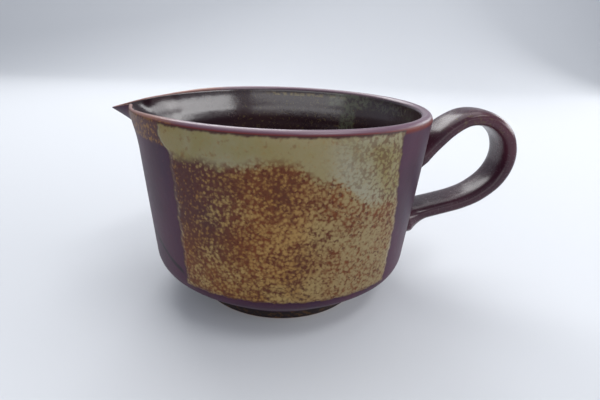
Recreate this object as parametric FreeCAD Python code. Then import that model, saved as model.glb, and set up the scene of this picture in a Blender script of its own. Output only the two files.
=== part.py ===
import FreeCAD, Part
import math
import os

os.makedirs("parts", exist_ok=True)

Vector = FreeCAD.Vector

# Gravy boat: a round thrown bowl on a trimmed foot, with a small beak pulled
# out of the rim and a strap handle luted on opposite the beak.
# It is built round the bowl's axis, +Z up, handle along +X, beak along -X, then
# moved along X so that the origin is under the middle of the whole length, at
# table level.  All sizes in millimetres.

# ---- driving sizes ----
rim_radius = 60.0
body_height = 82.0
lip_thickness = 4.4
wall_thickness = 4.2
wall_flare = 4.4
floor_thickness = 5.2

foot_height = 5.4
foot_inset = 15.9
foot_taper = 2.1
foot_ring_width = 5.0
foot_recess = 2.6
foot_bevel = 0.7
foot_overlap = 1.5
foot_edge_inset = 0.25

corner_height = 16.0
corner_tuck_in = 3.6
corner_tuck_up = 9.44
corner_bulge_in = 0.25
corner_bulge_down = 3.5
underside_rise = 3.4
underside_run = 4.4
inner_corner_rise = 5.0
inner_corner_drop = 8.5
inner_corner_run = 6.5
inner_floor_rise = 0.3

rim_dip = 0.5
rim_dip_start = 24.6
beak_reach = 9.9
beak_half_width = 8.0
beak_bluntness = 0.8
beak_droop = 2.6
beak_depth = 16.4
beak_growth = 1.6
beak_lip = 1.0
swell_reach = 2.2
swell_half_width = 23.0
swell_drop = 11.0
throat_depth = 2.7
throat_half_width = 34.0
throat_drop = 34.0

strap_width = 18.0
strap_thickness = 7.4
strap_squareness = 2.9
strap_flare = 1.6
strap_flare_length = 6.0
strap_lean = math.radians(12.0)
strap_lean_end = 0.3
grip_reach = 37.6
seat_gap = 0.04

joint_edge = 0.12
joint_length = 9.0
upper_joint_swell = 0.7
upper_joint_end = 0.16
lower_joint_swell = 2.5
lower_joint_tail = 1.3
lower_joint_end = 0.84

glaze_thickness = 0.6
glaze_seat = 0.22
glaze_top_gap = 1.2
glaze_bottom_gap = 14.8
beak_band_angle = 51.5
handle_band_angle = 46.0

# ---- sizes that follow from them ----
wall_low_radius = rim_radius - wall_flare
wall_low_height = foot_height + corner_height
foot_top_radius = wall_low_radius - foot_inset
foot_bottom_radius = foot_top_radius - foot_taper
foot_inner_radius = foot_bottom_radius - foot_ring_width
floor_top = foot_height + floor_thickness
inner_low_radius = wall_low_radius - wall_thickness
inner_low_height = wall_low_height + inner_corner_rise
lip_edge_height = body_height - lip_thickness / 2.0
wall_slope = wall_flare / (body_height - wall_low_height)


def bezier(p0, p1, p2, p3, share):
    """Point of a cubic arc through p0 and p3, pulled towards p1 and p2."""
    a = (1.0 - share) ** 3
    b = 3.0 * (1.0 - share) ** 2 * share
    c = 3.0 * (1.0 - share) * share ** 2
    d = share ** 3
    r = a * p0[0] + b * p1[0] + c * p2[0] + d * p3[0]
    z = a * p0[1] + b * p1[1] + c * p2[1] + d * p3[1]
    return (r, z)


def wall_radius(z):
    """Radius of the outside wall's straight, slightly flaring part."""
    return wall_low_radius + wall_slope * (z - wall_low_height)


# ---- outside half-section: foot top, underside, rounded corner, wall ----
underside_end = (foot_top_radius + underside_run, foot_height + underside_rise)
corner_pull_low = (wall_low_radius - corner_tuck_in, foot_height + corner_tuck_up)
corner_pull_high = (wall_low_radius - corner_bulge_in, wall_low_height - corner_bulge_down)
wall_low = (wall_low_radius, wall_low_height)
wall_steps = 9
corner_steps = 6

outer_section = [
    (foot_top_radius, foot_height),
    (foot_top_radius + underside_run * 0.5, foot_height + underside_rise * 0.5),
]
for step in range(corner_steps + 1):
    share = step / corner_steps
    outer_section.append(
        bezier(underside_end, corner_pull_low, corner_pull_high, wall_low, share)
    )
for step in range(1, wall_steps + 1):
    z = wall_low_height + (lip_edge_height - wall_low_height) * step / wall_steps
    outer_section.append((wall_radius(z), z))

# ---- inside half-section: wall, rounded corner, floor ----
inner_low = (inner_low_radius, inner_low_height)
inner_pull_high = (inner_low_radius - 2.0 * inner_floor_rise, inner_low_height - inner_corner_drop)
inner_pull_low = (inner_low_radius - inner_corner_run, floor_top + 3.0 * inner_floor_rise)
inner_floor = (inner_low_radius * 0.66, floor_top + inner_floor_rise)
inner_section = []
for step in range(wall_steps):
    share = step / wall_steps
    z = lip_edge_height + (inner_low_height - lip_edge_height) * share
    thickness = lip_thickness + (wall_thickness - lip_thickness) * share
    inner_section.append((wall_radius(z) - thickness, z))
for step in range(corner_steps + 1):
    share = step / corner_steps
    inner_section.append(
        bezier(inner_low, inner_pull_high, inner_pull_low, inner_floor, share)
    )
inner_section.append((inner_low_radius * 0.42, floor_top))


def rising(z, drop):
    """Smooth 0 to 1 over this drop below the lip's edge."""
    share = (z - (lip_edge_height - drop)) / drop
    share = min(1.0, max(0.0, share))
    return share * share * (3.0 - 2.0 * share)


def broad(arc, half_width):
    """Broad hump: 1 on the beak's centre line, fading past its half width."""
    return math.exp(-((arc / half_width) ** 2.4))


def beak_share(z):
    """How much of the beak has grown out of the wall at this height."""
    start = body_height - beak_depth
    share = (z - start) / (lip_edge_height - start)
    return min(1.0, max(0.0, share)) ** beak_growth


def pushed_out(arc, z):
    """Share of the beak's reach here: a blunt wedge, softer further down the wall."""
    grown = beak_share(z)
    softness = 0.08 + 0.8 * (1.0 - grown)
    run = math.sqrt(arc * arc + beak_bluntness * beak_bluntness) - beak_bluntness
    rise = 1.0 - run / beak_half_width
    return grown * 0.5 * (rise + math.sqrt(rise * rise + softness * softness))


def lowered(angle, z):
    """Height after the rim's slow dip and the beak's droop."""
    dip = rim_dip * (0.5 + 0.5 * math.cos(angle)) ** 3
    share = max(0.0, (z - rim_dip_start) / (body_height - rim_dip_start))
    droop = beak_droop * pushed_out(abs(angle) * rim_radius, z)
    return z - dip * share ** 2 - droop


def outer_point(angle, r, z):
    """Point of the outside surface; angle is measured from the beak."""
    arc = abs(angle) * rim_radius
    swell = swell_reach * rising(z, swell_drop) * broad(arc, swell_half_width)
    radius = r + beak_reach * pushed_out(arc, z) + swell
    return Vector(-radius * math.cos(angle), -radius * math.sin(angle), lowered(angle, z))


def inner_point(angle, r, z):
    """Point of the inside surface, pushed out into the throat and the beak."""
    arc = abs(angle) * rim_radius
    inner_reach = beak_reach + lip_thickness - beak_lip - throat_depth
    throat = rising(z, throat_drop) * broad(arc, throat_half_width)
    radius = r + inner_reach * pushed_out(arc, z) + throat * (throat_depth + swell_reach)
    return Vector(-radius * math.cos(angle), -radius * math.sin(angle), lowered(angle, z))


def lip_point(angle, turn):
    """Point of the rounded lip, turning from the outside to the inside."""
    outside = outer_point(angle, outer_section[-1][0], outer_section[-1][1])
    inside = inner_point(angle, inner_section[0][0], inner_section[0][1])
    middle = (outside + inside) * 0.5
    half = (outside - inside) * 0.5
    crown = min(half.Length, lip_thickness / 2.0)
    return middle + half * math.cos(turn) + Vector(0, 0, crown * math.sin(turn))


# ---- bowl: one smooth skin from the foot up the wall, over the lip and in ----
around = 72
crowding = 0.8
angles = []
for i in range(around):
    u = 2.0 * math.pi * i / around
    angles.append(u - crowding * math.sin(u))

strips = []
for angle in angles:
    signed = angle if angle <= math.pi else angle - 2.0 * math.pi
    strip = [outer_point(signed, r, z) for r, z in outer_section]
    for turn_step in range(1, 8):
        strip.append(lip_point(signed, math.pi * turn_step / 8.0))
    strip.extend([inner_point(signed, r, z) for r, z in inner_section])
    strips.append(strip)

beak_tip_x = min(point.x for point in strips[0])
plain = strips[around // 2]
stations = [0.0]
for j in range(1, len(plain)):
    stations.append(stations[-1] + (plain[j] - plain[j - 1]).Length ** 0.7)

columns = []
for strip in strips:
    column = Part.BSplineCurve()
    column.interpolate(Points=strip, Parameters=stations)
    columns.append(column)

rings = []
for j in range(columns[0].NbPoles):
    ring_points = [column.getPole(j + 1) for column in columns]
    ring = Part.BSplineCurve()
    ring.interpolate(
        Points=ring_points,
        PeriodicFlag=True,
        Parameters=[float(i) for i in range(around + 1)],
    )
    rings.append(ring)

pole_rows = []
for i in range(rings[0].NbPoles):
    pole_rows.append([ring.getPole(i + 1) for ring in rings])

skin = Part.BSplineSurface()
skin.buildFromPolesMultsKnots(
    pole_rows,
    rings[0].getMultiplicities(),
    columns[0].getMultiplicities(),
    rings[0].getKnots(),
    columns[0].getKnots(),
    True,
    False,
    3,
    3,
)
skin_face = skin.toShape()


def closing_disc(face, height):
    """Flat disc that closes the skin at the edge lying at this height."""
    for edge in face.Edges:
        box = edge.BoundBox
        if abs(box.ZMin - height) < 0.05 and abs(box.ZMax - height) < 0.05:
            return Part.Face(Part.Wire([edge]))
    return None


bottom_disc = closing_disc(skin_face, foot_height)
floor_disc = closing_disc(skin_face, floor_top)
body_shell = Part.makeShell([skin_face, bottom_disc, floor_disc])
body_shell.sewShape()
body = Part.makeSolid(body_shell)
if body.Volume < 0:
    body.reverse()

# The foot reaches a little way up into the bowl, clear of the skin's own edge.
foot_top = foot_height + foot_overlap
foot_edge_radius = foot_top_radius - foot_edge_inset
foot_section = [
    Vector(0, 0, foot_top),
    Vector(foot_edge_radius, 0, foot_top),
    Vector(foot_edge_radius, 0, foot_height),
    Vector(foot_bottom_radius + foot_edge_inset, 0, foot_bevel),
    Vector(foot_bottom_radius - foot_bevel, 0, 0),
    Vector(foot_inner_radius + foot_bevel, 0, 0),
    Vector(foot_inner_radius, 0, foot_bevel),
    Vector(foot_inner_radius - foot_bevel, 0, foot_recess),
    Vector(0, 0, foot_recess),
]
foot_face = Part.Face(Part.makePolygon(foot_section + [foot_section[0]]))
foot = foot_face.revolve(Vector(0, 0, 0), Vector(0, 0, 1), 360)
bowl = body.fuse(foot).Solids[0]

# ---- strap handle: a pulled strap bent through a loop in the plane y = 0 ----
# Each pair is how far the strap's middle stands out past the rim, as a share
# of the grip's reach, and how high it is, as a share of the bowl's height.
loop_shares = [
    (-0.17, 0.716),
    (-0.03, 0.775),
    (0.12, 0.838),
    (0.27, 0.902),
    (0.42, 0.946),
    (0.55, 0.959),
    (0.69, 0.952),
    (0.82, 0.924),
    (0.93, 0.873),
    (0.99, 0.806),
    (1.00, 0.742),
    (0.965, 0.675),
    (0.875, 0.607),
    (0.71, 0.540),
    (0.53, 0.498),
    (0.35, 0.470),
    (0.16, 0.444),
    (-0.02, 0.418),
    (-0.20, 0.390),
]
loop_points = []
for out_share, height_share in loop_shares:
    loop_points.append(
        Vector(rim_radius + out_share * grip_reach, 0, height_share * body_height)
    )
loop = Part.BSplineCurve()
loop.interpolate(loop_points)
loop_length = loop.length()
strap_end_x = strap_thickness / 2.0
strap_end_x += max(point.x for point in loop.discretize(200))
frame_shift = Vector(-(beak_tip_x + strap_end_x) / 2.0, 0, 0)


def save(shape, name):
    """Write one piece, moved from the bowl's axis to the part's own origin."""
    moved = shape.copy()
    moved.translate(frame_shift)
    moved.exportStep("parts/" + name + ".step")


# Plug that fills the bowl out to its wall, so the ends stop on the wall.
plug_top = 1.25 * body_height
plug = Part.makeCone(
    wall_radius(0.0) + seat_gap,
    wall_radius(plug_top) + seat_gap,
    plug_top,
)


def distance_from_wall(point):
    """How far a point of the strap's middle line is outside the wall."""
    return point.x - wall_radius(point.z)


section_steps = 16


def strap_section(point, tangent, half_width, above, below, lean):
    """Closed rounded outline across the strap, as a wire."""
    across = Vector(0, 1, 0)
    outward = tangent.cross(across)
    outward.normalize()
    turned_across = across * math.cos(lean) + outward * math.sin(lean)
    turned_outward = outward * math.cos(lean) - across * math.sin(lean)
    power = 2.0 / strap_squareness
    outline = []
    for k in range(section_steps):
        turn = 2.0 * math.pi * k / section_steps
        side = math.copysign(abs(math.cos(turn)) ** power, math.cos(turn))
        rise = math.copysign(abs(math.sin(turn)) ** power, math.sin(turn))
        reach = above if rise >= 0 else below
        outline.append(
            point + turned_across * (half_width * side) + turned_outward * (reach * rise)
        )
    curve = Part.BSplineCurve()
    curve.interpolate(Points=outline, PeriodicFlag=True)
    return Part.Wire([curve.toShape()])


def strap_at(share):
    """Middle point, tangent, distance outside the wall and lean at a share of the loop."""
    parameter = loop.parameterAtDistance(share * loop_length, loop.FirstParameter)
    point = loop.value(parameter)
    tangent = loop.tangent(parameter)[0]
    lean = strap_lean * max(0.0, 1.0 - share / strap_lean_end)
    return point, tangent, distance_from_wall(point), lean


def root_flare(distance):
    """Extra half width of the strap where it is pressed to the wall."""
    return strap_flare * math.exp(-max(0.0, distance) / strap_flare_length)


strap_wires = []
strap_steps = 18
for step in range(strap_steps + 1):
    point, tangent, distance, lean = strap_at(step / strap_steps)
    half_width = strap_width / 2.0 + root_flare(distance)
    half_thick = strap_thickness / 2.0
    strap_wires.append(
        strap_section(point, tangent, half_width, half_thick, half_thick, lean)
    )
strap = Part.makeLoft(strap_wires, True, False)
strap = strap.cut(plug)
strap = max(strap.Solids, key=lambda solid: solid.Volume)
save(bowl, "bowl")
save(strap, "strap_handle")


# ---- wiped clay at the two roots: a collar that feathers out on strap and wall ----
def joint_clay(first, last, joint_swell, tail):
    """Collar of clay round the strap between two shares of the loop."""
    wires = []
    steps = 5
    for step in range(steps + 1):
        share = first + (last - first) * step / steps
        point, tangent, distance, lean = strap_at(share)
        fade = max(0.0, 1.0 - max(0.0, distance) / joint_length)
        swell = joint_edge + joint_swell * fade ** 2.2
        wires.append(
            strap_section(
                point,
                tangent,
                strap_width / 2.0 + root_flare(distance) + swell,
                strap_thickness / 2.0 + swell * (1.0 + tail * fade),
                strap_thickness / 2.0 + swell,
                lean,
            )
        )
    collar = Part.makeLoft(wires, True, False)
    collar = collar.cut(plug).cut(strap)
    return max(collar.Solids, key=lambda solid: solid.Volume)


save(joint_clay(0.0, upper_joint_end, upper_joint_swell, 0.0), "upper_joint_clay")
save(joint_clay(1.0, lower_joint_end, lower_joint_swell, lower_joint_tail), "lower_joint_clay")


# ---- second glaze: a thin coat on each side, clear of the beak and the handle ----
def glaze_panel(first_angle):
    """Thin coat on the outside wall, turning from this angle in degrees."""
    low = foot_height + glaze_bottom_gap
    high = lip_edge_height - glaze_top_gap
    section = [
        Vector(wall_radius(low) + glaze_seat, 0, low),
        Vector(wall_radius(low) + glaze_thickness, 0, low),
        Vector(wall_radius(high) + glaze_thickness, 0, high),
        Vector(wall_radius(high) + glaze_seat, 0, high),
    ]
    face = Part.Face(Part.makePolygon(section + [section[0]]))
    sweep = 180.0 - beak_band_angle - handle_band_angle
    panel = face.revolve(Vector(0, 0, 0), Vector(0, 0, 1), sweep)
    panel.rotate(Vector(0, 0, 0), Vector(0, 0, 1), first_angle)
    return panel.Solids[0]


save(glaze_panel(180.0 + beak_band_angle), "front_glaze")
save(glaze_panel(handle_band_angle), "back_glaze")
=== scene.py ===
import math

import bpy
import numpy as np
from mathutils import Matrix, Vector


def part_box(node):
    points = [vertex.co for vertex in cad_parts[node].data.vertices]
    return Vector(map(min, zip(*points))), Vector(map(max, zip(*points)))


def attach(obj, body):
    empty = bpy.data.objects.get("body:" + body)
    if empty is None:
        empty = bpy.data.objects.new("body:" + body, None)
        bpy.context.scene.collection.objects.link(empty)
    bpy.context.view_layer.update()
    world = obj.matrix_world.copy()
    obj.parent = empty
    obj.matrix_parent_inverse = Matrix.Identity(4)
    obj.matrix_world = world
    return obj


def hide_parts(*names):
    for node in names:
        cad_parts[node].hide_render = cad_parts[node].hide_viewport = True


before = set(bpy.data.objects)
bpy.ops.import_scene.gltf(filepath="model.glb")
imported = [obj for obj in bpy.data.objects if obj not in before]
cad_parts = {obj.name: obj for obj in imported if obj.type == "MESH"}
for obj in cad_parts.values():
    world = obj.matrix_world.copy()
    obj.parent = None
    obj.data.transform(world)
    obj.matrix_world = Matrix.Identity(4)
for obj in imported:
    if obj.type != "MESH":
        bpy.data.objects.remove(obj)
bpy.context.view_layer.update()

# Sizes are in millimetres round the bowl's own axis, as in the CAD source;
# meshes are moved onto the frame and scaled to metres when they are made.
MM = 0.001
RIM_RADIUS = 60.0
BODY_HEIGHT = 82.0
LIP = 4.4
WALL_LOW_RADIUS = 55.6
WALL_LOW_HEIGHT = 21.4
FOOT_HEIGHT = 5.4
FOOT_TOP_RADIUS = 39.7
FOOT_BOTTOM_RADIUS = 37.6
FOOT_INNER_RADIUS = 32.6
FOOT_RECESS = 2.6
FLOOR_TOP = 10.6
LIP_EDGE_HEIGHT = BODY_HEIGHT - LIP / 2.0
WALL_SLOPE = (RIM_RADIUS - WALL_LOW_RADIUS) / (BODY_HEIGHT - WALL_LOW_HEIGHT)

RIM_DIP = 0.5
RIM_DIP_START = 24.6
BEAK_REACH = 9.9
BEAK_HALF_WIDTH = 8.0
BEAK_BLUNTNESS = 0.8
BEAK_DROOP = 2.6
BEAK_DEPTH = 16.4
BEAK_GROWTH = 1.6
BEAK_LIP = 1.0
SWELL_REACH = 2.2
SWELL_HALF_WIDTH = 23.0
SWELL_DROP = 11.0
THROAT_DEPTH = 2.7
THROAT_HALF_WIDTH = 34.0
THROAT_DROP = 34.0
THROAT_EDGE = 31.0
THROAT_EDGE_HEIGHT = 75.0
THROAT_EDGE_CURVE = 4.0
THROAT_EDGE_SPAN = 7.0
THUMB_DEPTH = 0.3
THUMB_DROP = 14.0
THUMB_SOFTNESS = 5.0
THICKENING = 1.5
THICKENING_DROP = 12.0
THICKENING_FADE = 30.0
WALL_THINNING = 0.2
WALL_THINNING_DROP = 40.0
INNER_CORNER_HEIGHT = 26.5
RING_DEPTH = 0.04
RING_PITCH = 5.2
RINGS_TOP = 78.0
RINGS_FADE = 10.0
WOBBLE_START = 8.0
WOBBLE_RUN = 12.0

# Where the looks change over the lip, as shares of its half turn from outside to inside.
CREST_START = 0.12
CREST_RUN = 0.16
INSIDE_START = 0.6
INSIDE_RUN = 0.35
LIP_END = 0.7
LIP_END_RUN = 0.25

# The lip's look starts this far below its edge outside, and bare clay ends this high on the foot.
LIP_BREAK = 0.9
BARE_HEIGHT = 0.45

# The coat's two side edges are in degrees from the handle; the rest is in millimetres.
COAT_BEAK_EDGE = 128.3
COAT_BEAK_FLARE = 4.5
COAT_BEAK_FLARE_START = 70.0
COAT_BEAK_FLARE_RUN = 7.0
COAT_HANDLE_EDGE = 44.0
COAT_HANDLE_SLANT = 5.5
COAT_HANDLE_SLANT_START = 40.0
COAT_HANDLE_SLANT_RUN = 38.0
COAT_RAGGEDNESS = 0.6
COAT_LOW = 20.0
COAT_HIGH = 80.6
COAT_RISE = 0.4
COAT_BEVEL = 2.6
COAT_EDGE = 0.04
COAT_SINK = 0.08
COAT_BROWN_WIDTH = 1.6
COAT_BROWN_TOP = 0.6

STRAP_WIDTH = 18.0
STRAP_THICKNESS = 7.4
STRAP_FLARE = 1.6
STRAP_LEAN = math.radians(12.0)
GRIP_REACH = 37.6
STRAP_LEAN_END = 0.3
STRAP_FLARE_LENGTH = 6.0
STRAP_SQUARENESS = 2.5
STRAP_HOLLOW = 0.35
JOINT_LENGTH = 9.0
UPPER_JOINT_SWELL = 0.7
UPPER_JOINT_TOP_SHARE = 0.6
LOWER_JOINT_SWELL = 2.5
LOWER_JOINT_TAIL = 3.6
LOWER_JOINT_TAIL_LENGTH = 8.0
LOWER_JOINT_TAIL_CURVE = 1.6
JOINT_CURVE = 2.2
JOINT_REACH = 8.0
ROOT_DEPTH = 6.5
ROOT_SEAT = 0.5

bowl_high = Vector(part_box("bowl")[1])
LIP_RADIUS = WALL_LOW_RADIUS + WALL_SLOPE * (LIP_EDGE_HEIGHT - WALL_LOW_HEIGHT)
AXIS_X = bowl_high.x - LIP_RADIUS * MM


# ---------------------------------------------------------------- shape helpers
def to_frame(points):
    """Millimetre points round the bowl's axis, as metre points of the frame."""
    moved = np.array(points, float) * MM
    moved[..., 0] += AXIS_X
    return moved


def bezier(p0, p1, p2, p3, count):
    """Points of a cubic arc from p0 to p3."""
    t = np.linspace(0.0, 1.0, count)[:, None]
    a, b, c, d = (np.array(p, float) for p in (p0, p1, p2, p3))
    return (1 - t) ** 3 * a + 3 * (1 - t) ** 2 * t * b + 3 * (1 - t) * t**2 * c + t**3 * d


def wall_radius(z):
    return WALL_LOW_RADIUS + WALL_SLOPE * (z - WALL_LOW_HEIGHT)


def smooth(x):
    x = np.clip(x, 0.0, 1.0)
    return x * x * (3.0 - 2.0 * x)


def rising(z, drop):
    """Smooth 0 to 1 over this drop below the lip's edge."""
    return smooth((z - (LIP_EDGE_HEIGHT - drop)) / drop)


def broad(arc, half_width):
    """Broad hump: 1 on the beak's centre line, fading past its half width."""
    return np.exp(-((arc / half_width) ** 2.4))


def pushed_out(arc, z):
    """Share of the beak's reach here: a blunt wedge, softer further down the wall."""
    start = BODY_HEIGHT - BEAK_DEPTH
    grown = np.clip((z - start) / (LIP_EDGE_HEIGHT - start), 0.0, 1.0) ** BEAK_GROWTH
    softness = 0.08 + 0.8 * (1.0 - grown)
    run = np.sqrt(arc * arc + BEAK_BLUNTNESS**2) - BEAK_BLUNTNESS
    rise = 1.0 - run / BEAK_HALF_WIDTH
    return grown * 0.5 * (rise + np.sqrt(rise * rise + softness * softness))


def lowered(angle, z):
    """Height after the rim's slow dip and the beak's droop."""
    dip = RIM_DIP * (0.5 + 0.5 * np.cos(angle)) ** 3
    share = np.clip((z - RIM_DIP_START) / (BODY_HEIGHT - RIM_DIP_START), 0.0, None)
    return z - dip * share**2 - BEAK_DROOP * pushed_out(np.abs(angle) * RIM_RADIUS, z)


def hand_wobble(angle, z):
    """Slow unevenness that the potter's hands leave, within 0.2 mm."""
    oval = 0.10 * np.sin(2.0 * angle + 0.6 + z / 40.0)
    return oval + 0.06 * np.sin(3.0 * angle + 2.1 - z / 23.0)


def outer_ring(angle, r, z):
    """Points of the outside surface; angle is measured from the beak."""
    arc = np.abs(angle) * RIM_RADIUS
    swell = SWELL_REACH * rising(z, SWELL_DROP) * broad(arc, SWELL_HALF_WIDTH)
    radius = r + BEAK_REACH * pushed_out(arc, z) + swell
    return np.stack([-radius * np.cos(angle), -radius * np.sin(angle), lowered(angle, z)], -1)


def inner_ring(angle, r, z):
    """Points of the inside surface, pushed out into the throat, its crease and the beak."""
    arc = np.abs(angle) * RIM_RADIUS
    reach = BEAK_REACH + LIP - BEAK_LIP - THROAT_DEPTH
    throat = rising(z, THROAT_DROP) * broad(arc, THROAT_HALF_WIDTH) * (THROAT_DEPTH + SWELL_REACH)
    edge = THROAT_EDGE - THROAT_EDGE_CURVE * ((z - THROAT_EDGE_HEIGHT) / THROAT_EDGE_SPAN) ** 2
    thumbed = THUMB_DEPTH * smooth((edge - arc) / THUMB_SOFTNESS) * rising(z, THUMB_DROP)
    radius = r + reach * pushed_out(arc, z) + throat + thumbed
    return np.stack([-radius * np.cos(angle), -radius * np.sin(angle), lowered(angle, z)], -1)


# ---------------------------------------------------------------- mesh helpers
def make_object(name, vertices, faces, material, attributes=None):
    """Mesh object on the root body, smooth shaded, with point attributes."""
    mesh = bpy.data.meshes.new(name)
    mesh.from_pydata([tuple(v) for v in to_frame(vertices)], [], faces)
    for key, values in (attributes or {}).items():
        layer = mesh.attributes.new(key, "FLOAT", "POINT")
        layer.data.foreach_set("value", np.array(values, np.float32))
    mesh.polygons.foreach_set("use_smooth", [len(face) == 4 for face in faces])
    mesh.materials.append(material)
    mesh.update()
    piece = bpy.data.objects.new(name, mesh)
    bpy.context.scene.collection.objects.link(piece)
    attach(piece, "root")
    return piece


def grid_faces(rows, columns, wrap_columns, offset=0):
    """Quads between rows of points, each row having the same number of points."""
    faces = []
    last = columns if wrap_columns else columns - 1
    for i in range(rows - 1):
        for j in range(last):
            k = (j + 1) % columns
            a = offset + i * columns
            b = offset + (i + 1) * columns
            faces.append((a + j, a + k, b + k, b + j))
    return faces


# ---------------------------------------------------------------- node helpers
GLAZE_IOR = 1.58


class Nodes:
    """Short names for making the shader nodes of one material."""

    def __init__(self, name):
        self.material = bpy.data.materials.new(name)
        self.material.use_nodes = True
        self.tree = self.material.node_tree
        self.shader = self.tree.nodes["Principled BSDF"]
        self.shader.inputs["IOR"].default_value = GLAZE_IOR
        self.coordinates = self.new("ShaderNodeTexCoord").outputs["Object"]

    def new(self, kind):
        return self.tree.nodes.new(kind)

    def link(self, value, socket):
        if isinstance(value, bpy.types.NodeSocket):
            self.tree.links.new(value, socket)
        else:
            socket.default_value = value

    def attribute(self, name):
        node = self.new("ShaderNodeAttribute")
        node.attribute_name = name
        return node.outputs["Fac"]

    def math(self, operation, a, b=0.0, clamp=False):
        node = self.new("ShaderNodeMath")
        node.operation = operation
        node.use_clamp = clamp
        self.link(a, node.inputs[0])
        self.link(b, node.inputs[1])
        return node.outputs[0]

    def stretched(self, scale):
        node = self.new("ShaderNodeMapping")
        self.link(self.coordinates, node.inputs["Vector"])
        node.inputs["Scale"].default_value = scale
        return node.outputs["Vector"]

    def noise(self, scale, detail=2.0, roughness=0.5, distortion=0.0, vector=None):
        node = self.new("ShaderNodeTexNoise")
        self.link(vector or self.coordinates, node.inputs["Vector"])
        node.inputs["Scale"].default_value = scale
        node.inputs["Detail"].default_value = detail
        node.inputs["Roughness"].default_value = roughness
        node.inputs["Distortion"].default_value = distortion
        return node.outputs["Fac"]

    def shifted(self, share, distance):
        """Object coordinates pushed about by a noise value."""
        node = self.new("ShaderNodeVectorMath")
        node.operation = "ADD"
        self.link(self.coordinates, node.inputs[0])
        push = self.math("MULTIPLY", self.math("SUBTRACT", share, 0.5), distance)
        self.link(push, node.inputs[1])
        return node.outputs[0]

    def ramp(self, value, low, high, out_low=0.0, out_high=1.0):
        node = self.new("ShaderNodeMapRange")
        node.interpolation_type = "SMOOTHSTEP"
        self.link(value, node.inputs["Value"])
        self.link(low, node.inputs["From Min"])
        self.link(high, node.inputs["From Max"])
        self.link(out_low, node.inputs["To Min"])
        self.link(out_high, node.inputs["To Max"])
        return node.outputs["Result"]

    def mix(self, share, a, b):
        node = self.new("ShaderNodeMix")
        node.data_type = "RGBA"
        self.link(share, node.inputs["Factor"])
        self.link(a, node.inputs["A"])
        self.link(b, node.inputs["B"])
        return node.outputs["Result"]

    def bump(self, height, distance, strength=1.0, normal=None):
        node = self.new("ShaderNodeBump")
        node.inputs["Strength"].default_value = strength
        node.inputs["Distance"].default_value = distance
        self.link(height, node.inputs["Height"])
        if normal is not None:
            self.link(normal, node.inputs["Normal"])
        return node.outputs["Normal"]

    def window(self, value, low, high, soft):
        """1 between low and high, fading to 0 outside them over a soft distance."""
        rise = self.ramp(value, low - soft, low)
        return self.math("MULTIPLY", rise, self.ramp(value, high + soft, high))

    def place(self):
        """Azimuth round the bowl's axis in degrees, 0 at the handle, and height in mm."""
        split = self.new("ShaderNodeSeparateXYZ")
        self.link(self.coordinates, split.inputs[0])
        x = self.math("SUBTRACT", split.outputs["X"], AXIS_X)
        turn = self.math("ARCTAN2", split.outputs["Y"], x)
        degrees = self.math("MULTIPLY", turn, 180.0 / math.pi)
        height = self.math("MULTIPLY", split.outputs["Z"], 1000.0)
        return degrees, height


def srgb(r, g, b):
    """Linear colour with alpha from 0-255 display values."""
    def linear(c):
        c = c / 255.0
        return c / 12.92 if c <= 0.04045 else ((c + 0.055) / 1.055) ** 2.4
    return (linear(r), linear(g), linear(b), 1.0)


# ---------------------------------------------------------------- materials
PLUM_DARK = srgb(52, 27, 46)
PLUM_LIGHT = srgb(68, 35, 56)
PLUM_RUN = srgb(48, 30, 54)
PLUM_GRAIN = srgb(98, 62, 58)
PLUM_PIT = srgb(44, 30, 36)
HANDLE_DARK = srgb(54, 28, 40)
HANDLE_LIGHT = srgb(78, 40, 52)
INSIDE_DARK = srgb(40, 25, 34)
INSIDE_LIGHT = srgb(54, 36, 38)
OLIVE_SPECK = srgb(104, 92, 58)
CELADON = srgb(112, 120, 96)
STREAK = srgb(30, 22, 30)
LIP_RED = srgb(98, 32, 26)
# plum glaze of the lip's crest, lightened towards lavender as a painted highlight
LIP_PLUM_AND_HIGHLIGHT = srgb(104, 74, 90)
LIP_ORANGE = srgb(124, 74, 58)
# dark foot glaze, darkened further as painted shade
FOOT_DARK_AND_SHADE = srgb(28, 18, 20)
FOOT_SPECK = srgb(92, 64, 36)
CLAY_DARK = srgb(150, 100, 72)
CLAY_LIGHT = srgb(172, 122, 90)
RUST_DARK = srgb(64, 34, 26)
RUST_LIGHT = srgb(102, 54, 24)
RUST_PURPLE = srgb(72, 40, 44)
RUST_PIT = srgb(50, 30, 26)
RUST_ORANGE = srgb(108, 56, 24)
RUST_SPOT = srgb(74, 32, 20)
GOLD_DARK = srgb(138, 100, 48)
GOLD_LIGHT = srgb(148, 124, 76)
GOLD_ORANGE = srgb(150, 106, 50)
PALE_OLIVE = srgb(122, 112, 70)
PALE_GREY = srgb(136, 132, 112)
PALE_STONE = srgb(132, 120, 88)
OLIVE_YELLOW = srgb(128, 112, 66)
EDGE_BROWN = srgb(62, 34, 32)
STRIP_BROWN = srgb(78, 44, 36)
WALL_SHINE = 0.14
PANEL_SHINE = 0.16
GLOSSY_SHINE = 0.6
WALL_ROUGHNESS = 0.46
GLOSSY_ROUGHNESS = 0.2
PALE_LIMIT_START = 45.0
PALE_LIMIT_RUN = 85.0


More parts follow.
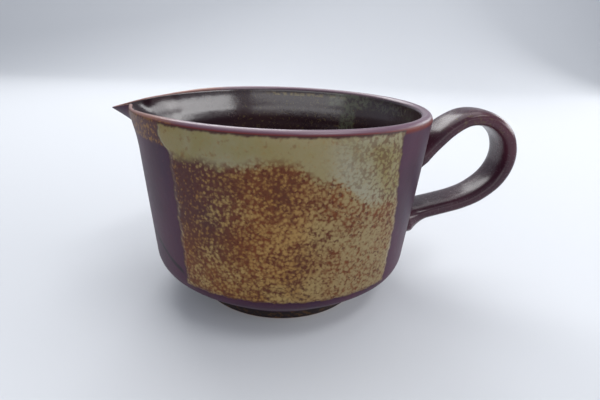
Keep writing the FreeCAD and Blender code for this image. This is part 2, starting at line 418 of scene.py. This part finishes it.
def outside_colour(n, azimuth, height, cloud, grain):
    """Plum with darker runs, a reddish grain and two marks beside the beak."""
    runs = n.noise(1.0, 3.0, 0.5, vector=n.stretched((130.0, 130.0, 26.0)))
    colour = n.mix(n.ramp(cloud, 0.32, 0.68), PLUM_DARK, PLUM_LIGHT)
    colour = n.mix(n.ramp(runs, 0.45, 0.75, 0.0, 0.5), colour, PLUM_RUN)
    colour = n.mix(n.ramp(grain, 0.55, 0.75, 0.0, 0.3), colour, PLUM_GRAIN)
    colour = n.mix(n.ramp(grain, 0.42, 0.25, 0.0, 0.4), colour, PLUM_PIT)

    # thin dark streak that slants down the front corner
    slant = n.math("ADD", n.math("MULTIPLY", n.math("ADD", azimuth, 152.0), 0.43), height)
    wander = n.math("MULTIPLY", n.math("SUBTRACT", n.noise(120.0, 2.0), 0.5), 3.0)
    off_line = n.math("ABSOLUTE", n.math("SUBTRACT", n.math("ADD", slant, wander), 34.0))
    along = n.window(azimuth, -153.0, -131.0, 3.0)
    streak = n.math("MULTIPLY", n.ramp(off_line, 1.3, 0.5, 0.0, 0.92), along)
    colour = n.mix(streak, colour, STREAK)

    # gold flecks in a strip under the rim, from the front panel towards the beak
    beside = n.window(azimuth, -168.0, -128.0, 6.0)
    strip = n.math("MULTIPLY", n.window(height, 73.6, 82.0, 1.4), beside)
    flecks = n.ramp(n.noise(640.0, 4.0, 0.65), 0.47, 0.62, 0.0, 0.8)
    colour = n.mix(n.math("MULTIPLY", strip, 0.6), colour, STRIP_BROWN)
    return n.mix(n.math("MULTIPLY", strip, flecks), colour, GOLD_DARK)


def inside_colour(n, azimuth, height, cloud, speck):
    """Near-black brown with olive flecks, thickest on the far wall near the handle."""
    deep = n.mix(n.ramp(cloud, 0.3, 0.7), INSIDE_DARK, INSIDE_LIGHT)
    scattered = n.ramp(n.noise(34.0, 2.0, 0.5), 0.5, 0.66, 0.0, 0.5)
    field = n.math("MULTIPLY", n.window(azimuth, 48.0, 112.0, 16.0), n.window(height, 58.0, 77.5, 6.0))
    amount = n.math("MAXIMUM", scattered, field)
    fine = n.noise(760.0, 3.0, 0.65)
    flecks = n.math("MULTIPLY", n.ramp(fine, 0.54, 0.72, 0.0, 0.55), amount)
    deep = n.mix(flecks, deep, OLIVE_SPECK)

    # olive dashes under the rim, a pale patch beside them and its run down the wall
    dashes = n.math("MULTIPLY", n.window(azimuth, 58.0, 96.0, 6.0), n.window(height, 77.9, 78.9, 0.5))
    dashes = n.math("MULTIPLY", dashes, n.ramp(n.noise(420.0, 2.0), 0.42, 0.58))
    patch = n.math("MULTIPLY", n.window(azimuth, 42.0, 62.0, 6.0), n.window(height, 74.8, 80.0, 1.6))
    run = n.math("MULTIPLY", n.window(azimuth, 48.0, 55.0, 2.4), n.window(height, 62.0, 76.0, 4.0))
    patch = n.math("MAXIMUM", patch, run)
    patch = n.math("MULTIPLY", patch, n.ramp(speck, 0.36, 0.6, 0.1, 0.6))
    deep = n.mix(n.math("MULTIPLY", dashes, 0.6), deep, OLIVE_YELLOW)
    deep = n.mix(n.math("MULTIPLY", patch, 0.7), deep, CELADON)
    near_handle = n.window(azimuth, 6.0, 34.0, 8.0)
    near_handle = n.math("MULTIPLY", near_handle, n.window(height, 75.0, 79.5, 1.6))
    mottle = n.math("MULTIPLY", near_handle, n.ramp(speck, 0.46, 0.6, 0.0, 0.2))
    return n.mix(mottle, deep, CELADON)


def base_glaze_material():
    """First glaze: satin plum outside, glossy inside, on the lip and on the handle."""
    n = Nodes("plum_glaze")
    azimuth, height = n.place()
    inside = n.attribute("inside")
    lip = n.attribute("lip")
    crest = n.attribute("crest")
    foot = n.attribute("foot")
    bare = n.attribute("bare")
    handle = n.attribute("handle")
    cloud = n.noise(28.0, 3.0, 0.55)
    grain = n.noise(900.0, 3.0, 0.6)
    speck = n.noise(520.0, 2.0, 0.55, 0.6)

    colour = outside_colour(n, azimuth, height, cloud, grain)
    strap = n.mix(n.ramp(cloud, 0.35, 0.65), HANDLE_DARK, HANDLE_LIGHT)
    on_top = n.ramp(height, 70.0, 76.0)
    green = n.math("MULTIPLY", n.ramp(speck, 0.54, 0.7, 0.0, 0.4), on_top)
    strap = n.mix(green, strap, OLIVE_SPECK)
    colour = n.mix(handle, colour, strap)
    colour = n.mix(inside, colour, inside_colour(n, azimuth, height, cloud, speck))

    # dark red below the lip's crest, but not beside the beak, where the crest is orange brown
    worn = n.ramp(n.noise(160.0, 2.0, 0.6), 0.3, 0.55, 0.7, 1.0)
    beside_beak = n.ramp(n.math("ABSOLUTE", azimuth), 118.0, 136.0)
    low_lip = n.math("SUBTRACT", lip, crest, True)
    low_lip = n.math("MULTIPLY", low_lip, n.math("SUBTRACT", 1.0, beside_beak))
    colour = n.mix(n.math("MULTIPLY", low_lip, worn), colour, LIP_RED)
    # the crest is plum glaze, lightened towards lavender as a painted highlight; beside the beak it is
    # orange brown
    crest_glaze_and_highlight = n.mix(beside_beak, LIP_PLUM_AND_HIGHLIGHT, LIP_ORANGE)
    top_lip = n.math("MULTIPLY", crest, lip)
    colour = n.mix(top_lip, colour, crest_glaze_and_highlight)

    # the foot is dark glaze with gold flecks, darkened further as painted shade
    dark = n.mix(n.ramp(speck, 0.54, 0.64, 0.0, 0.7), FOOT_DARK_AND_SHADE, FOOT_SPECK)
    colour = n.mix(foot, colour, dark)
    clay = n.mix(n.ramp(grain, 0.4, 0.6), CLAY_DARK, CLAY_LIGHT)
    colour = n.mix(bare, colour, clay)
    n.link(colour, n.shader.inputs["Base Color"])

    glossy = n.math("MAXIMUM", inside, n.math("MAXIMUM", top_lip, handle))
    shine = n.ramp(glossy, 0.0, 1.0, WALL_SHINE, GLOSSY_SHINE)
    shine = n.math("SUBTRACT", shine, n.math("MULTIPLY", handle, 0.28))
    n.link(shine, n.shader.inputs["Specular IOR Level"])
    rough = n.ramp(glossy, 0.0, 1.0, WALL_ROUGHNESS, GLOSSY_ROUGHNESS)
    softer_handle = n.math("MULTIPLY", handle, 0.06)
    softer = n.math("MAXIMUM", n.math("MULTIPLY", top_lip, 0.12), softer_handle)
    rough = n.math("ADD", rough, softer)
    rough = n.math("ADD", rough, n.math("MULTIPLY", bare, 0.4))
    uneven = n.math("MULTIPLY", n.math("SUBTRACT", grain, 0.5), 0.12)
    rough = n.math("ADD", rough, uneven)
    n.link(rough, n.shader.inputs["Roughness"])
    normal = n.bump(n.noise(240.0, 2.0, 0.5), 0.00022, 0.28)
    normal = n.bump(grain, 0.00006, 0.3, normal)
    n.link(normal, n.shader.inputs["Normal"])
    return n.material


def pale_limit(n, side):
    """Height in mm of the pale band's lower edge, which falls towards the handle."""
    curve = n.new("ShaderNodeFloatCurve")
    share = n.math("DIVIDE", n.math("SUBTRACT", side, PALE_LIMIT_START), PALE_LIMIT_RUN)
    n.link(share, curve.inputs["Value"])
    stops = [
        (0.0, 0.56), (0.12, 0.56), (0.22, 0.585), (0.32, 0.655), (0.4, 0.66),
        (0.5, 0.71), (0.62, 0.705), (0.75, 0.685), (0.86, 0.695), (1.0, 0.685),
    ]
    points = curve.mapping.curves[0].points
    points[0].location = stops[0]
    points[1].location = stops[-1]
    for stop in stops[1:-1]:
        points.new(*stop)
    curve.mapping.update()
    wander = n.math("MULTIPLY", n.math("SUBTRACT", n.noise(150.0, 3.0, 0.55), 0.5), 7.0)
    return n.math("ADD", n.math("MULTIPLY", curve.outputs["Value"], 100.0), wander)


def panel_material():
    """Second glaze: pale olive where thick at the top, golden cells on rust below."""
    n = Nodes("ochre_glaze")
    azimuth, height = n.place()
    side = n.math("ABSOLUTE", azimuth)
    edge = n.attribute("edge")
    cloud = n.noise(24.0, 3.0, 0.5)
    grain = n.noise(1100.0, 2.0, 0.6)
    patches = n.noise(75.0, 3.0, 0.55)

    # ground: rust brown, more purple high on the beak side
    ground = n.mix(n.ramp(cloud, 0.35, 0.65), RUST_DARK, RUST_LIGHT)
    shade = n.math("MULTIPLY", n.ramp(side, 95.0, 125.0), n.ramp(height, 34.0, 56.0, 0.0, 0.7))
    ground = n.mix(shade, ground, RUST_PURPLE)

    # a warmer streak in the middle, then dark pits all over the ground
    warm = n.window(side, 86.0, 97.0, 9.0)
    warm = n.math("MULTIPLY", warm, n.window(height, 36.0, 62.0, 10.0))
    warm = n.math("MULTIPLY", warm, n.ramp(patches, 0.35, 0.62, 0.1, 0.65))
    ground = n.mix(warm, ground, RUST_ORANGE)
    ground = n.mix(n.ramp(grain, 0.4, 0.7, 0.0, 0.3), ground, RUST_PIT)

    # golden cells: wide towards the handle and the bottom, few and small near the beak
    cells = n.new("ShaderNodeTexVoronoi")
    cells.feature = "SMOOTH_F1"
    wobble = n.noise(380.0, 2.0, 0.5)
    n.link(n.shifted(wobble, 0.0012), cells.inputs["Vector"])
    cells.inputs["Scale"].default_value = 820.0
    cells.inputs["Smoothness"].default_value = 0.6
    ragged = n.math("SUBTRACT", n.noise(700.0, 4.0, 0.7), 0.5)
    distance = n.math("ADD", cells.outputs["Distance"], n.math("MULTIPLY", ragged, 1.5))
    reach = n.ramp(side, 55.0, 125.0, 0.58, 0.26)
    reach = n.math("ADD", reach, n.ramp(height, 58.0, 24.0, 0.0, 0.12))
    reach = n.math("ADD", reach, n.math("MULTIPLY", n.math("SUBTRACT", patches, 0.5), 0.8))
    gold_share = n.ramp(n.math("SUBTRACT", reach, distance), -0.34, 0.36, 0.0, 0.95)
    gold = n.mix(n.ramp(patches, 0.35, 0.65), GOLD_DARK, GOLD_LIGHT)
    gold = n.mix(n.ramp(side, 96.0, 58.0, 0.0, 0.85), gold, PALE_STONE)
    gold = n.mix(n.math("MULTIPLY", warm, 0.6), gold, GOLD_ORANGE)
    mottled = n.mix(gold_share, ground, gold)
    spots = n.ramp(n.noise(800.0, 2.0, 0.5, 0.4), 0.56, 0.68, 0.0, 0.8)
    mottled = n.mix(spots, mottled, RUST_SPOT)

    # pale band along the top, yellower at its beak end and in the middle, freckled at the other end
    greyer = n.math("ADD", cloud, n.math("MULTIPLY", patches, 0.6))
    pale = n.mix(n.ramp(greyer, 0.62, 1.0), PALE_OLIVE, PALE_GREY)
    yellow = n.math("MULTIPLY", n.ramp(side, 116.0, 130.0), n.ramp(patches, 0.42, 0.6, 0.1, 0.7))
    middle = n.math("MULTIPLY", n.window(side, 80.0, 92.0, 10.0), 0.55)
    yellow = n.math("MAXIMUM", yellow, middle)
    pale = n.mix(yellow, pale, OLIVE_YELLOW)
    pale = n.mix(n.ramp(n.noise(420.0, 2.0, 0.6), 0.56, 0.72, 0.0, 0.4), pale, RUST_LIGHT)
    pale = n.mix(n.ramp(grain, 0.5, 0.75, 0.0, 0.25), pale, GOLD_DARK)
    between_gold = n.ramp(gold_share, 0.75, 0.2, 0.0, 0.62)
    freckled = n.math("MULTIPLY", n.ramp(side, 84.0, 54.0), between_gold)
    pale = n.mix(freckled, pale, RUST_SPOT)
    above = n.math("SUBTRACT", height, pale_limit(n, side))
    above = n.math("ADD", above, n.math("MULTIPLY", n.math("SUBTRACT", gold_share, 0.5), 2.5))
    colour = n.mix(n.ramp(above, -1.8, 2.4), mottled, pale)
    colour = n.mix(edge, colour, EDGE_BROWN)
    n.link(colour, n.shader.inputs["Base Color"])

    n.shader.inputs["Specular IOR Level"].default_value = PANEL_SHINE
    n.link(n.ramp(patches, 0.35, 0.65, 0.5, 0.4), n.shader.inputs["Roughness"])
    normal = n.bump(gold_share, 0.0002, 0.25)
    normal = n.bump(grain, 0.00005, 0.3, normal)
    n.link(normal, n.shader.inputs["Normal"])
    return n.material


# ---------------------------------------------------------------- bowl
def bowl_sections():
    """Half-section as (kind, r, z) from the underside's middle to the inside floor's middle."""
    section = []

    def add(kind, points):
        for r, z in points:
            section.append((kind, r, z))

    # underside of the foot: recess, inner edge, standing face and outer edge
    recess = FOOT_INNER_RADIUS - 0.8
    add("foot", [(r, FOOT_RECESS) for r in np.linspace(0.6, recess - 1.2, 10)])
    add("foot", bezier(
        (recess - 0.8, FOOT_RECESS),
        (recess - 0.2, FOOT_RECESS),
        (recess, FOOT_RECESS - 0.4),
        (recess + 0.15, FOOT_RECESS - 0.9),
        4,
    ))
    add("foot", bezier(
        (FOOT_INNER_RADIUS - 0.1, 0.6),
        (FOOT_INNER_RADIUS + 0.05, 0.2),
        (FOOT_INNER_RADIUS + 0.3, 0.0),
        (FOOT_INNER_RADIUS + 0.8, 0.0),
        5,
    ))
    add("foot", bezier(
        (FOOT_BOTTOM_RADIUS - 1.0, 0.0),
        (FOOT_BOTTOM_RADIUS - 0.3, 0.0),
        (FOOT_BOTTOM_RADIUS + 0.15, 0.3),
        (FOOT_BOTTOM_RADIUS + 0.3, 0.8),
        6,
    ))
    for share in np.linspace(0.2, 0.85, 6):
        r = FOOT_BOTTOM_RADIUS + 0.25 + share * (FOOT_TOP_RADIUS - FOOT_BOTTOM_RADIUS - 0.25)
        section.append(("foot", r, 0.7 + share * (FOOT_HEIGHT - 0.7)))

    # outside: foot's top, rounded corner, wall
    add("outer", bezier(
        (FOOT_TOP_RADIUS - 0.1, FOOT_HEIGHT - 0.3),
        (FOOT_TOP_RADIUS + 0.1, FOOT_HEIGHT),
        (FOOT_TOP_RADIUS + 0.8, FOOT_HEIGHT + 0.6),
        (FOOT_TOP_RADIUS + 1.6, FOOT_HEIGHT + 1.25),
        5,
    ))
    corner_start = (FOOT_TOP_RADIUS + 2.4, FOOT_HEIGHT + 1.87)
    add("outer", bezier(corner_start, (46.0, 10.2), (51.9, 14.5), (54.2, 17.2), 16))
    corner_end = (WALL_LOW_RADIUS, WALL_LOW_HEIGHT)
    add("outer", bezier((54.35, 17.4), (55.1, 18.6), (55.5, 20.0), corner_end, 6))
    for z in np.linspace(WALL_LOW_HEIGHT + 1.0, LIP_EDGE_HEIGHT, 64):
        section.append(("outer", wall_radius(z), z))

    # half turn over the lip, then the inside, thickest a little below the lip, its corner and floor
    for turn in np.linspace(0.0, math.pi, 17)[1:-1]:
        section.append(("lip", turn, 0.0))
    for z in np.linspace(LIP_EDGE_HEIGHT, INNER_CORNER_HEIGHT, 76):
        drop = LIP_EDGE_HEIGHT - z
        fade = 1.0 - smooth((drop - THICKENING_DROP) / THICKENING_FADE)
        thickening = THICKENING * smooth(drop / THICKENING_DROP) * fade
        thinning = WALL_THINNING * min(1.0, drop / WALL_THINNING_DROP)
        section.append(("inner", wall_radius(z) - LIP + thinning - thickening, z))
    inner_low = wall_radius(INNER_CORNER_HEIGHT) - LIP + WALL_THINNING
    corner = bezier((inner_low, 25.6), (inner_low - 0.6, 18.0), (44.8, 11.6), (33.9, 10.9), 22)
    add("inner", corner[1:])
    for r in np.linspace(31.0, 0.8, 14):
        section.append(("inner", r, FLOOR_TOP - 0.1 + 0.3 * (r / 34.0) ** 2))
    return section


def bowl_rows(angle):
    """The half-section, and its rows of points round the bowl, one row per station."""
    rows = []
    section = bowl_sections()

    # the lip is a half turn from the wall's outside edge to its inside edge
    last_outer = [s for s in section if s[0] == "outer"][-1]
    first_inner = [s for s in section if s[0] == "inner"][0]
    outside = outer_ring(angle, last_outer[1], last_outer[2])
    inside = inner_ring(angle, first_inner[1], first_inner[2])
    middle = (outside + inside) / 2.0
    half = (outside - inside) / 2.0
    crown = np.minimum(np.linalg.norm(half, axis=1), LIP / 2.0)[:, None] * np.array([[0, 0, 1.0]])
    for kind, a, b in section:
        if kind == "lip":
            rows.append(middle + half * math.cos(a) + crown * math.sin(a))
        elif kind == "inner":
            below_lip = min(1.0, max(0.0, (RINGS_TOP - b) / RINGS_FADE))
            rings = RING_DEPTH * math.sin(b * 2.0 * math.pi / RING_PITCH) * below_lip
            rows.append(inner_ring(angle, a + rings, b))
        elif kind == "outer":
            fade = smooth((b - WOBBLE_START) / WOBBLE_RUN)
            rows.append(outer_ring(angle, a + fade * hand_wobble(angle, b), b))
        else:
            rows.append(outer_ring(angle, a, b))
    return section, np.array(rows)


def make_bowl(material):
    """Floor, wall, lip, beak and foot as one closed mesh, with finer columns at the beak."""
    around = 480
    u = np.arange(around) * 2.0 * math.pi / around
    angle = u - 0.8 * np.sin(u)
    angle = np.where(angle > math.pi, angle - 2.0 * math.pi, angle)
    section, rows = bowl_rows(angle)
    count = len(section)
    vertices = rows.reshape(-1, 3)
    faces = grid_faces(count, around, True)
    first_ring = list(range(around))
    last_ring = [(count - 1) * around + j for j in range(around)]
    faces.append(tuple(reversed(first_ring)))
    faces.append(tuple(last_ring))
    inside, lip, crest, foot, bare = [], [], [], [], []
    for kind, a, b in section:
        turn = a / math.pi if kind == "lip" else 0.0
        on_inside = smooth((turn - INSIDE_START) / INSIDE_RUN)
        inside.append({"inner": 1.0, "lip": on_inside}.get(kind, 0.0))
        on_lip = 1.0 - smooth((turn - LIP_END) / LIP_END_RUN)
        below_lip = float(smooth((b - (LIP_EDGE_HEIGHT - LIP_BREAK)) / LIP_BREAK))
        lip.append({"lip": on_lip, "outer": below_lip}.get(kind, 0.0))
        crest.append(smooth((turn - CREST_START) / CREST_RUN) if kind == "lip" else 0.0)
        foot.append(1.0 if kind == "foot" else 0.0)
        bare.append(1.0 if kind == "foot" and b < BARE_HEIGHT else 0.0)
    per_vertex = {
        "inside": np.repeat(inside, around),
        "lip": np.repeat(lip, around),
        "crest": np.repeat(crest, around),
        "foot": np.repeat(foot, around),
        "bare": np.repeat(bare, around),
        "handle": np.zeros(count * around),
    }
    bowl = make_object("bowl_body", vertices, faces, material, per_vertex)
    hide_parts("bowl")
    return bowl


# ---------------------------------------------------------------- handle
LOOP = [
    (-0.17, 0.716), (-0.03, 0.775), (0.12, 0.838), (0.27, 0.902), (0.42, 0.946),
    (0.55, 0.959), (0.69, 0.952), (0.82, 0.924), (0.93, 0.873), (0.99, 0.806),
    (1.00, 0.742), (0.965, 0.675), (0.875, 0.607), (0.71, 0.540), (0.53, 0.498),
    (0.35, 0.470), (0.16, 0.444), (-0.02, 0.418), (-0.20, 0.390),
]


def loop_line(count):
    """Evenly spaced points along the strap's middle line, in the plane y = 0."""
    knots = np.array([(RIM_RADIUS + a * GRIP_REACH, b * BODY_HEIGHT) for a, b in LOOP])
    ends = np.vstack([2 * knots[0] - knots[1], knots, 2 * knots[-1] - knots[-2]])
    fine = []
    for i in range(1, len(ends) - 2):
        p0, p1, p2, p3 = ends[i - 1], ends[i], ends[i + 1], ends[i + 2]
        t = np.linspace(0, 1, 24, endpoint=False)[:, None]
        fine.append(0.5 * (2 * p1 + (p2 - p0) * t + (2 * p0 - 5 * p1 + 4 * p2 - p3) * t**2
                           + (3 * p1 - p0 - 3 * p2 + p3) * t**3))
    fine = np.vstack(fine + [knots[-1:]])
    for _ in range(12):
        fine[1:-1] = 0.25 * fine[:-2] + 0.5 * fine[1:-1] + 0.25 * fine[2:]
    length = np.concatenate([[0], np.cumsum(np.linalg.norm(np.diff(fine, axis=0), axis=1))])
    even = np.linspace(0, length[-1], count)
    return np.stack([np.interp(even, length, fine[:, 0]), np.interp(even, length, fine[:, 1])], 1)


def strap_rows(count, around):
    """Rings of the strap with its wiped roots, as rows of points."""
    line = loop_line(count)
    tangent = np.gradient(line, axis=0)
    tangent /= np.linalg.norm(tangent, axis=1)[:, None]
    rows = []
    power = 2.0 / STRAP_SQUARENESS
    for i in range(count):
        share = i / (count - 1)
        x, z = line[i]
        outward = np.array([-tangent[i][1], 0.0, tangent[i][0]])
        across = np.array([0.0, 1.0, 0.0])
        lean = STRAP_LEAN * max(0.0, 1.0 - share / STRAP_LEAN_END)
        turned_across = across * math.cos(lean) + outward * math.sin(lean)
        turned_outward = outward * math.cos(lean) - across * math.sin(lean)
        clear = x - wall_radius(z)
        fade = max(0.0, 1.0 - max(0.0, clear) / JOINT_LENGTH)
        upper = share < 0.5
        swell = (UPPER_JOINT_SWELL if upper else LOWER_JOINT_SWELL) * fade**JOINT_CURVE
        near_wall = max(0.0, 1.0 - max(0.0, clear) / LOWER_JOINT_TAIL_LENGTH)
        tail = LOWER_JOINT_TAIL * near_wall**LOWER_JOINT_TAIL_CURVE
        if upper:
            tail = UPPER_JOINT_TOP_SHARE * swell
        flare = STRAP_FLARE * math.exp(-max(0.0, clear) / STRAP_FLARE_LENGTH)
        half_width = STRAP_WIDTH / 2.0 + flare + swell
        above = STRAP_THICKNESS / 2.0 + tail
        below = STRAP_THICKNESS / 2.0 + swell
        ring = []
        for k in range(around):
            turn = 2.0 * math.pi * k / around
            c, s = math.cos(turn), math.sin(turn)
            side = math.copysign(abs(c) ** power, c)
            rise = math.copysign(abs(s) ** power, s)
            hollow = STRAP_HOLLOW * (1.0 - side * side) * (1.0 - fade)
            reach = (above if rise >= 0 else below) - hollow
            sideways = turned_across * (half_width * side)
            ring.append(np.array([x, 0.0, z]) + sideways + turned_outward * (reach * rise))
        rows.append(ring)
    return np.array(rows), line


def make_handle(material):
    """Strap and its two wiped roots, cut from one run of rings so that they meet exactly."""
    count, around = 220, 72
    rows, line = strap_rows(count, around)
    clear = line[:, 0] - wall_radius(line[:, 1])
    outside = [i for i in range(count) if clear[i] > -ROOT_DEPTH]

    # no point goes deeper into the wall than the seat, just inside the wall's outside surface
    spread = np.hypot(rows[..., 0], rows[..., 1])
    seat = wall_radius(rows[..., 2]) - ROOT_SEAT
    push = np.maximum(1.0, seat / spread)
    rows[..., :2] *= push[..., None]
    first, last = outside[0], outside[-1]
    upper_end = next(i for i in outside if clear[i] > JOINT_REACH)
    lower_start = next(i for i in reversed(outside) if clear[i] > JOINT_REACH)
    spans = [
        ("upper_joint_wiped", first, upper_end, "upper_joint_clay"),
        ("strap_body", upper_end, lower_start, "strap_handle"),
        ("lower_joint_wiped", lower_start, last, "lower_joint_clay"),
    ]
    for name, start, stop, node in spans:
        part = rows[start : stop + 1]
        # the end faces have points of their own, so that they don't bend the shading at the seams
        vertices = np.vstack([part.reshape(-1, 3), part[0], part[-1]])
        faces = grid_faces(len(part), around, True)
        first_cap = len(part) * around
        faces.append(tuple(range(first_cap, first_cap + around)))
        faces.append(tuple(reversed(range(first_cap + around, first_cap + 2 * around))))
        piece = make_object(name, vertices, faces, material, {"handle": np.ones(len(vertices))})
        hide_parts(node)


# ---------------------------------------------------------------- glaze panels
def ragged(value, seed):
    """Small smooth irregularity, about -1 to 1."""
    total = 0.0
    for k, (rate, gain) in enumerate([(0.11, 0.5), (0.27, 0.3), (0.61, 0.2)]):
        total += gain * np.sin(value * rate * 2.0 * math.pi + seed * 1.7 + k * 2.3)
    return total


def make_panel(name, node, side, seed, material):
    """Thin coat on one side of the wall; side is -1 for the front, +1 for the back."""
    columns, rows_count = 260, 170
    heights = COAT_LOW + (COAT_HIGH - COAT_LOW) * np.linspace(0, 1, rows_count)
    mm_per_degree = math.radians(1.0) * RIM_RADIUS
    flare = COAT_BEAK_FLARE * smooth((heights - COAT_BEAK_FLARE_START) / COAT_BEAK_FLARE_RUN)
    beak_edge = COAT_BEAK_EDGE + COAT_RAGGEDNESS * ragged(heights, seed) + flare
    slant = smooth((heights - COAT_HANDLE_SLANT_START) / COAT_HANDLE_SLANT_RUN)
    handle_edge = COAT_HANDLE_EDGE + COAT_HANDLE_SLANT * slant
    handle_edge = handle_edge + COAT_RAGGEDNESS * ragged(heights, seed + 3)
    fronts, backs, edges = [], [], []
    for i, z in enumerate(heights):
        degrees = np.linspace(handle_edge[i], beak_edge[i], columns)
        angle = np.radians(180.0 - degrees) * (-side)
        arc = np.radians(degrees) * RIM_RADIUS
        bottom = COAT_LOW + 0.5 * ragged(arc, seed + 5) + 0.5
        height = np.full(columns, z)
        if z < COAT_LOW + 2:
            height = np.maximum(z, bottom)
        from_side = np.minimum(degrees - handle_edge[i], beak_edge[i] - degrees) * mm_per_degree
        from_end = np.minimum(z - COAT_LOW, COAT_HIGH - z)
        inset = np.minimum(from_side, from_end)
        thick = COAT_RISE * smooth(inset / COAT_BEVEL) + COAT_EDGE

        # above the lip's edge the wall turns in
        over = max(0.0, z - LIP_EDGE_HEIGHT)
        turned_in = LIP / 2.0 - math.sqrt((LIP / 2.0) ** 2 - over**2)
        wall = wall_radius(height) + hand_wobble(angle, z) - turned_in
        fronts.append(outer_ring(angle, wall + thick, height))
        # the back lies just inside the bowl's wall and meets the front all round the coat's edge
        sunk = np.where(inset > 0.001, -COAT_SINK, COAT_EDGE)
        backs.append(outer_ring(angle, wall + sunk, height))

        # the coat is brown all round its outline, in a thinner and ragged line along the top
        from_top = COAT_HIGH - 0.35 + 0.3 * ragged(arc, seed + 8) - z
        clean = np.minimum(smooth(from_side / COAT_BROWN_WIDTH), smooth(from_top / COAT_BROWN_TOP))
        if z < (COAT_LOW + COAT_HIGH) / 2.0:
            clean = np.minimum(clean, smooth(inset / COAT_BROWN_WIDTH))
        edges.append(1.0 - clean)
    vertices = np.array(fronts + backs).reshape(-1, 3)
    front_faces = grid_faces(rows_count, columns, False)
    back_faces = grid_faces(rows_count, columns, False, rows_count * columns)
    back_faces = [tuple(reversed(f)) for f in back_faces]
    faces = front_faces + back_faces
    if side < 0:
        faces = [tuple(reversed(f)) for f in faces]
    brown = {"edge": np.array(edges + edges).ravel()}
    panel = make_object(name, vertices, faces, material, brown)
    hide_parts(node)


# ---------------------------------------------------------------- stage
FLOOR_COLOUR = (0.66, 0.68, 0.71, 1)
FLOOR_HALF_WIDTH = 2.5
FLOOR_FRONT = -1.6
BEND_START = 0.9
BEND_RADIUS = 0.5
BACKDROP_TOP = 2.4
ROOM_COLOUR = (0.86, 0.9, 1.0, 1)
ROOM_STRENGTH = 0.45
CAMERA_LENS = 24.0
CAMERA_BACK = 0.17156
CAMERA_HEIGHT = 0.1056
CAMERA_TURN = math.radians(2.693)
CAMERA_TILT = math.radians(21.63)
CAMERA_ROLL = math.radians(2.54)


def make_stage():
    """Pale floor that curves up into a backdrop well behind the object."""
    material = bpy.data.materials.new("pale_paper")
    material.use_nodes = True
    shader = material.node_tree.nodes["Principled BSDF"]
    shader.inputs["Base Color"].default_value = FLOOR_COLOUR
    shader.inputs["Roughness"].default_value = 0.9
    profile = [(FLOOR_FRONT, 0.0), (BEND_START, 0.0)]
    for turn in np.linspace(0, math.pi / 2, 12)[1:]:
        y = BEND_START + BEND_RADIUS * math.sin(turn)
        profile.append((y, BEND_RADIUS - BEND_RADIUS * math.cos(turn)))
    profile.append((BEND_START + BEND_RADIUS, BACKDROP_TOP))
    vertices, faces = [], []
    for y, z in profile:
        vertices += [(-FLOOR_HALF_WIDTH, y, z), (FLOOR_HALF_WIDTH, y, z)]
    for i in range(len(profile) - 1):
        faces.append((2 * i, 2 * i + 1, 2 * i + 3, 2 * i + 2))
    mesh = bpy.data.meshes.new("floor")
    mesh.from_pydata(vertices, [], faces)
    mesh.polygons.foreach_set("use_smooth", [True] * len(mesh.polygons))
    mesh.materials.append(material)
    floor = bpy.data.objects.new("floor", mesh)
    bpy.context.scene.collection.objects.link(floor)


def soft_light(name, location, target, size, power):
    """Rectangular lamp facing the target; metres and watts."""
    data = bpy.data.lights.new(name, "AREA")
    data.shape = "RECTANGLE"
    data.size, data.size_y = size
    data.energy = power
    lamp = bpy.data.objects.new(name, data)
    bpy.context.scene.collection.objects.link(lamp)
    lamp.location = location
    lamp.rotation_euler = (Vector(target) - Vector(location)).to_track_quat("-Z", "Y").to_euler()


def make_lights():
    """Dim even room light, with windows behind, right and above, and a wide fill in front."""
    world = bpy.data.worlds.new("soft_room")
    bpy.context.scene.world = world
    world.use_nodes = True
    background = world.node_tree.nodes["Background"]
    background.inputs["Color"].default_value = ROOM_COLOUR
    background.inputs["Strength"].default_value = ROOM_STRENGTH
    target = (AXIS_X, 0.0, 0.05)
    soft_light("window_behind", (-0.3, 0.8, 0.75), target, (0.7, 0.35), 4.5)
    soft_light("window_right", (1.1, -0.15, 0.42), target, (1.2, 0.3), 6.0)
    soft_light("window_far_right", (1.05, 0.72, 0.38), target, (0.7, 0.35), 2.5)
    soft_light("overhead", (0.0, 0.4, 1.1), target, (1.1, 0.9), 5.5)
    soft_light("window_above", (0.37, -0.34, 0.98), target, (0.5, 0.2), 2.2)
    soft_light("front_fill", (-0.35, -1.4, 0.5), target, (3.2, 0.5), 7.6)


def make_camera():
    """Close camera with a wide lens, turned a little right, tilted down and rolled."""
    data = bpy.data.cameras.new("camera")
    data.sensor_width = 36.0
    data.lens = CAMERA_LENS
    data.clip_start = 0.01
    camera = bpy.data.objects.new("camera", data)
    bpy.context.scene.collection.objects.link(camera)
    camera.location = (AXIS_X, -CAMERA_BACK, CAMERA_HEIGHT)
    turn = Matrix.Rotation(-CAMERA_TURN, 3, "Z")
    tilt = Matrix.Rotation(math.pi / 2.0 - CAMERA_TILT, 3, "X")
    roll = Matrix.Rotation(CAMERA_ROLL, 3, "Z")
    camera.rotation_euler = (turn @ tilt @ roll).to_euler()
    bpy.context.scene.camera = camera


base_glaze = base_glaze_material()
second_glaze = panel_material()
make_bowl(base_glaze)
make_handle(base_glaze)
make_panel("front_panel", "front_glaze", -1, 0.0, second_glaze)
make_panel("back_panel", "back_glaze", 1, 4.0, second_glaze)
make_stage()
make_lights()
make_camera()
bpy.context.scene.view_settings.view_transform = "Standard"
